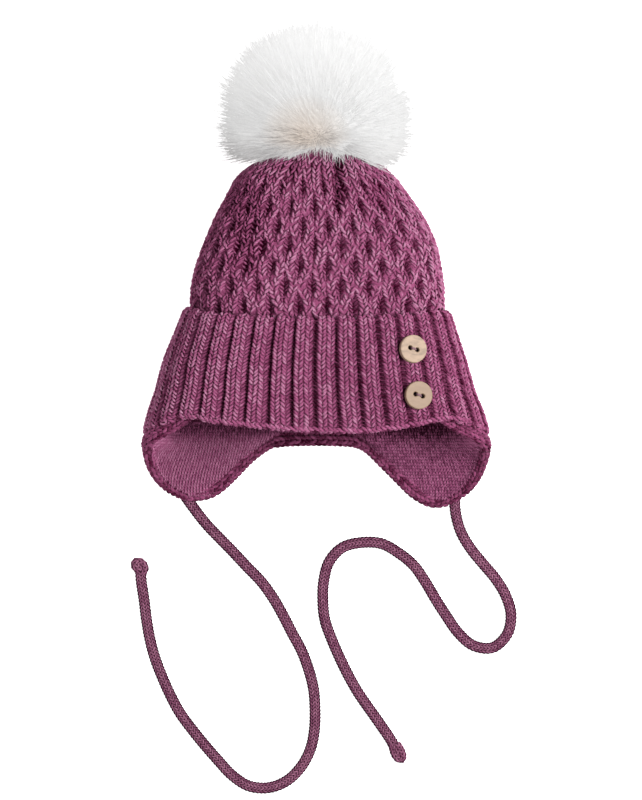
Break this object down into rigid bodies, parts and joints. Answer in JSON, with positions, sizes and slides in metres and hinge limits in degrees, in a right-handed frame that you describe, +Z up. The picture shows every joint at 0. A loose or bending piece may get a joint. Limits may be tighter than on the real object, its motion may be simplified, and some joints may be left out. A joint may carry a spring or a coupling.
{
  "type": "knit baby hat",
  "caption": "Knit baby hat lying on its back: honeycomb crown, ribbed turned-up brim with wooden buttons, earflaps with long ties, fur pompom.",
  "frame": {"origin": "middle of the footprint of the hat without its ties, on the surface that it lies on", "axes": "+X across the front towards the buttons, +Y from the opening to the pompom, +Z up out of the front"},
  "size_m": [0.207, 0.411, 0.0912],
  "materials": {
    "yarn_crown": "mauve wool-blend yarn, matt, cabled honeycomb knit",
    "yarn_rib": "mauve yarn, matt, two-by-two rib knit",
    "yarn_lining": "mauve yarn, matt, fine smooth knit",
    "yarn_edge": "mauve yarn, matt, coarse ridged edge knit",
    "yarn_cord": "mauve yarn, matt, round knitted cord",
    "fur": "white imitation fur, fine soft hair",
    "button_wood": "pale bare wood, fine grain, turned rim",
    "thread": "mauve sewing thread"
  },
  "bodies": {
    "root": {"crown": "yarn_crown", "lining": "yarn_lining", "cuff": "yarn_rib", "back_hem": "yarn_edge", "earflap_left": "yarn_lining", "flap_border_left": "yarn_edge", "tie_left": "yarn_cord", "knot_left": "yarn_cord", "earflap_right": "yarn_lining", "flap_border_right": "yarn_edge", "tie_right": "yarn_cord", "knot_right": "yarn_cord", "pompom": "fur", "button_upper": "button_wood", "button_thread_upper": "thread", "button_lower": "button_wood", "button_thread_lower": "thread"}
  },
  "joints": []
}
